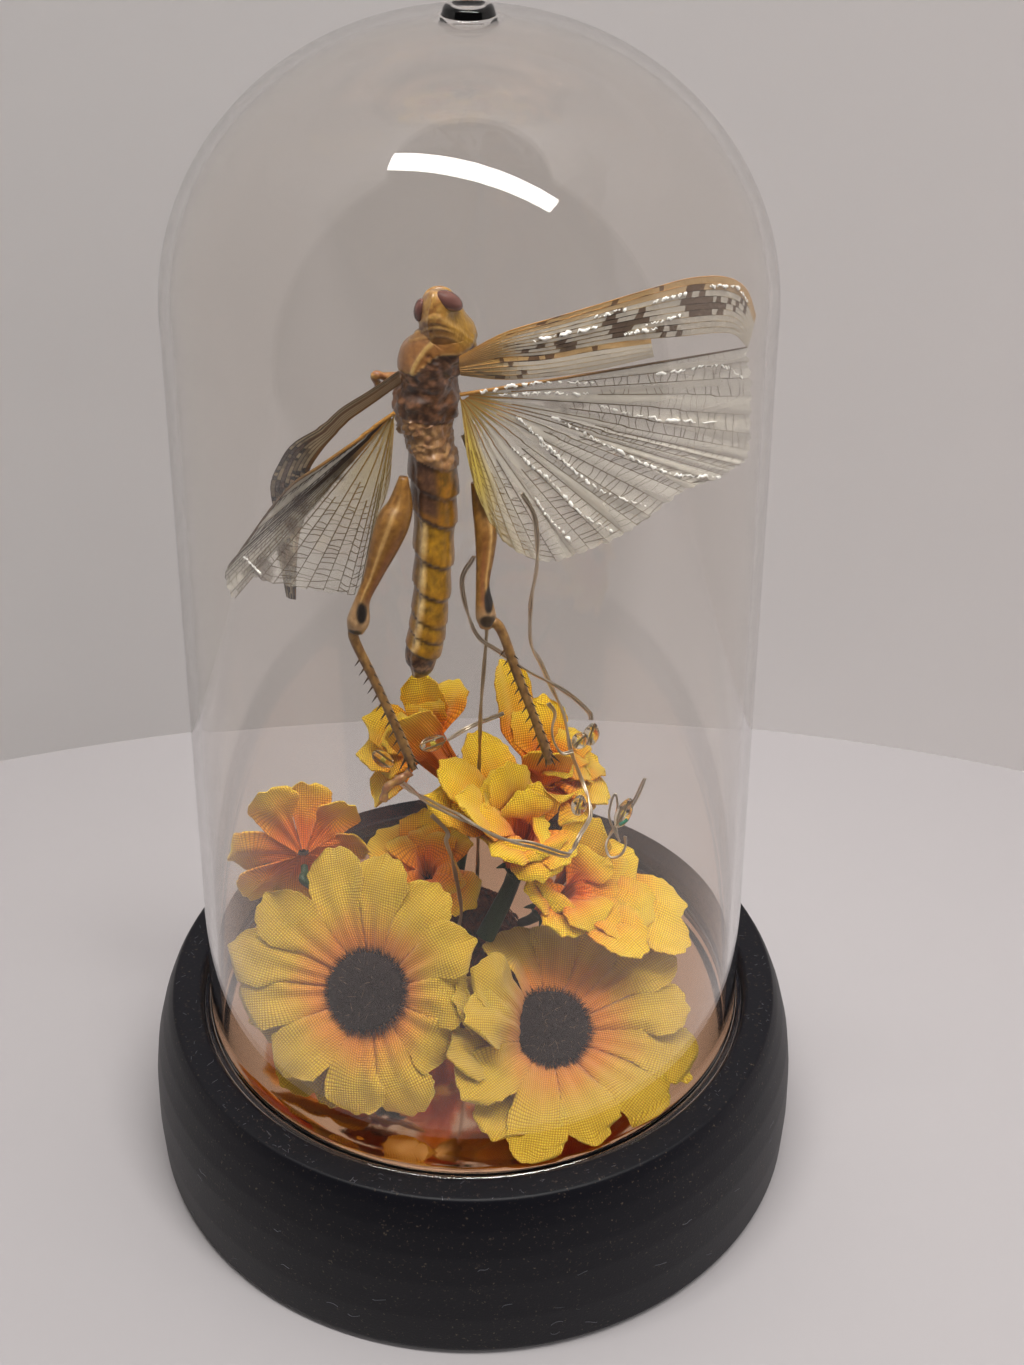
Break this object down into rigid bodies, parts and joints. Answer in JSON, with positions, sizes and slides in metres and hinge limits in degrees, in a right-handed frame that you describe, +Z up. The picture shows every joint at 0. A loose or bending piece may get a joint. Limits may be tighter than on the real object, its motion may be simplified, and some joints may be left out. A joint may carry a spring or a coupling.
{
  "type": "insect in glass dome",
  "caption": "Dried locust with spread wings over yellow cloth flowers and bead-light wire, under a clear bell dome on a round black base.",
  "frame": {"origin": "centre of the base's underside, where the display stands on a table", "axes": "+Z up through the dome's button; the display is looked at from -Y, and +X is to that viewer's right"},
  "size_m": [0.1156, 0.1156, 0.203],
  "materials": {
    "satin_black": "satin black moulded plastic with fine grain",
    "copper_mirror": "copper-tinted mirror",
    "clear_dome": "polished clear",
    "mound": "rough red-brown",
    "wire_metal": "dull drawn wire",
    "bead_resin": "clear resin",
    "locust_body": "dried horn-like skin, part glossy",
    "locust_leg": "dried horn-like skin",
    "forewing": "thin leathery wing with brown spots",
    "hindwing": "clear veined wing",
    "petal_cloth": "stamped woven cloth, yellow to orange",
    "flower_centre": "dark brown fuzz",
    "stem_green": "matt dark green"
  },
  "bodies": {
    "root": {"base_housing": "satin_black", "battery_cover": "satin_black", "clear_dome": "clear_dome", "copper_disc": "copper_mirror", "flower_back_left_centre": "flower_centre", "flower_back_left_petals": "petal_cloth", "flower_back_left_stem": "stem_green", "flower_back_right_centre": "flower_centre", "flower_back_right_petals": "petal_cloth", "flower_back_right_stem": "stem_green", "flower_front_left_centre": "flower_centre", "flower_front_left_petals": "petal_cloth", "flower_front_left_stem": "stem_green", "flower_front_left_under_petals": "petal_cloth", "flower_front_right_centre": "flower_centre", "flower_front_right_petals": "petal_cloth", "flower_front_right_stem": "stem_green", "flower_inner_left_centre": "flower_centre", "flower_inner_left_petals": "petal_cloth", "flower_inner_left_stem": "stem_green", "flower_left_centre": "flower_centre", "flower_left_petals": "petal_cloth", "flower_left_stem": "stem_green", "flower_middle_centre": "flower_centre", "flower_middle_petals": "petal_cloth", "flower_middle_stem": "stem_green", "flower_right_centre": "flower_centre", "flower_right_petals": "petal_cloth", "flower_right_stem": "stem_green", "forewing_left": "forewing", "forewing_right": "forewing", "hind_leg_left": "locust_leg", "hind_leg_right": "locust_leg", "hindwing_left": "hindwing", "hindwing_right": "hindwing", "light_bead_1": "bead_resin", "light_bead_2": "bead_resin", "light_bead_3": "bead_resin", "light_bead_4": "bead_resin", "light_bead_5": "bead_resin", "light_bead_6": "bead_resin", "light_wire_branch": "wire_metal", "light_wire_coil": "wire_metal", "light_wire_end": "wire_metal", "light_wire_foot": "wire_metal", "light_wire_hook": "wire_metal", "light_wire_lower": "wire_metal", "light_wire_upper": "wire_metal", "locust_body": "locust_body", "mound": "mound", "support_wire": "wire_metal"}
  },
  "joints": []
}
